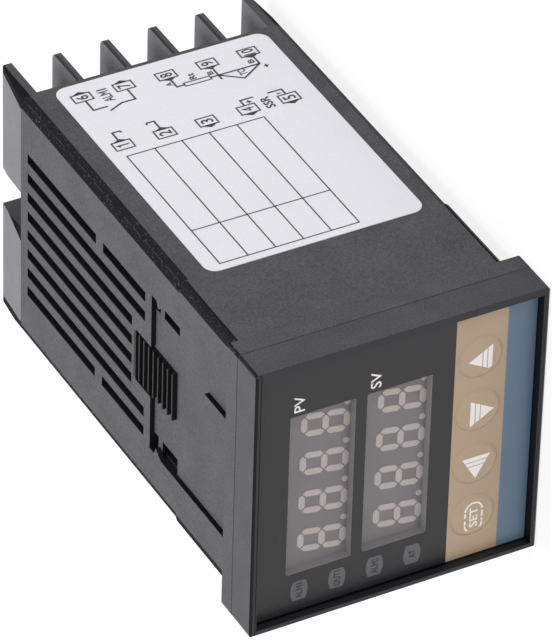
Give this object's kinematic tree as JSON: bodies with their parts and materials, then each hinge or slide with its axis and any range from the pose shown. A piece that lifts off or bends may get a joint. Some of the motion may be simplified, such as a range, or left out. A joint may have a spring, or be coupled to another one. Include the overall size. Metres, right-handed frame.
{
  "type": "temperature controller",
  "caption": "Square panel-mount process temperature controller: two four-digit displays, indicator lamps, sprung membrane keys, draw-out chassis and rear screw terminals.",
  "frame": {"origin": "on the axis of the housing, in the rear face of the front flange, which is the plane of the panel's front surface", "axes": "+Y runs from the front towards the terminals, +Z towards the upper edge of the displays, +X towards the side with the wiring label"},
  "size_m": [0.048, 0.0872, 0.048],
  "materials": {
    "case": "fine textured black ABS",
    "terminal_block": "fine textured black moulding",
    "terminal_plates": "tin plated brass",
    "clamp_washers": "zinc plated steel",
    "terminal_screws": "zinc plated steel, cross recess",
    "side_label": "white printed polyester",
    "bezel": "satin black ABS",
    "overlay_film": "printed film, black, tan and blue",
    "pv_window": "clear film",
    "sv_window": "clear film",
    "lamp_lenses": "smoked lens",
    "front_board": "green solder mask",
    "pv_display": "grey display face",
    "sv_display": "grey display face",
    "pv_segments": "milky epoxy segments",
    "sv_segments": "milky epoxy segments",
    "indicator_leds": "chip LED",
    "key_switches": "black switch body",
    "power_board": "green solder mask",
    "logic_board": "green solder mask",
    "board_headers": "black pin strip",
    "transformer_core": "ferrite",
    "transformer_winding": "yellow tape over the winding",
    "mains_capacitor": "sleeved can",
    "output_capacitors": "sleeved cans",
    "alarm_relay": "blue relay case",
    "output_relay": "blue relay case",
    "bridge_rectifier": "black epoxy",
    "power_resistors": "metal film resistors",
    "controller_chip": "black epoxy",
    "analog_chips": "black epoxy",
    "crystal": "metal can",
    "board_brace": "natural nylon",
    "edge_contacts": "gold plated pads",
    "key_set": "tan printed pad, embossed",
    "key_shift": "tan printed pad, embossed",
    "key_down": "tan printed pad, embossed",
    "key_up": "tan printed pad, embossed"
  },
  "bodies": {
    "case": {"case": "case", "terminal_block": "terminal_block", "terminal_plates": "terminal_plates", "clamp_washers": "clamp_washers", "terminal_screws": "terminal_screws", "side_label": "side_label"},
    "chassis": {"bezel": "bezel", "overlay_film": "overlay_film", "pv_window": "pv_window", "sv_window": "sv_window", "lamp_lenses": "lamp_lenses", "front_board": "front_board", "pv_display": "pv_display", "sv_display": "sv_display", "pv_segments": "pv_segments", "sv_segments": "sv_segments", "indicator_leds": "indicator_leds", "key_switches": "key_switches", "power_board": "power_board", "logic_board": "logic_board", "board_headers": "board_headers", "transformer_core": "transformer_core", "transformer_winding": "transformer_winding", "mains_capacitor": "mains_capacitor", "output_capacitors": "output_capacitors", "alarm_relay": "alarm_relay", "output_relay": "output_relay", "bridge_rectifier": "bridge_rectifier", "power_resistors": "power_resistors", "controller_chip": "controller_chip", "analog_chips": "analog_chips", "crystal": "crystal", "board_brace": "board_brace", "edge_contacts": "edge_contacts"},
    "key_set": {"key_set": "key_set"},
    "key_shift": {"key_shift": "key_shift"},
    "key_down": {"key_down": "key_down"},
    "key_up": {"key_up": "key_up"}
  },
  "joints": [
    {"name": "chassis_slide", "type": "slide", "parent": "case", "child": "chassis", "axis": [0, -1, 0], "range_m": [0, 0.07]},
    {"name": "key_set_press", "type": "slide", "parent": "chassis", "child": "key_set", "axis": [0, 1, 0], "range_m": [0, 0.0004], "stiffness_N_per_m": 400},
    {"name": "key_shift_press", "type": "slide", "parent": "chassis", "child": "key_shift", "axis": [0, 1, 0], "range_m": [0, 0.0004], "stiffness_N_per_m": 400},
    {"name": "key_down_press", "type": "slide", "parent": "chassis", "child": "key_down", "axis": [0, 1, 0], "range_m": [0, 0.0004], "stiffness_N_per_m": 400},
    {"name": "key_up_press", "type": "slide", "parent": "chassis", "child": "key_up", "axis": [0, 1, 0], "range_m": [0, 0.0004], "stiffness_N_per_m": 400}
  ]
}
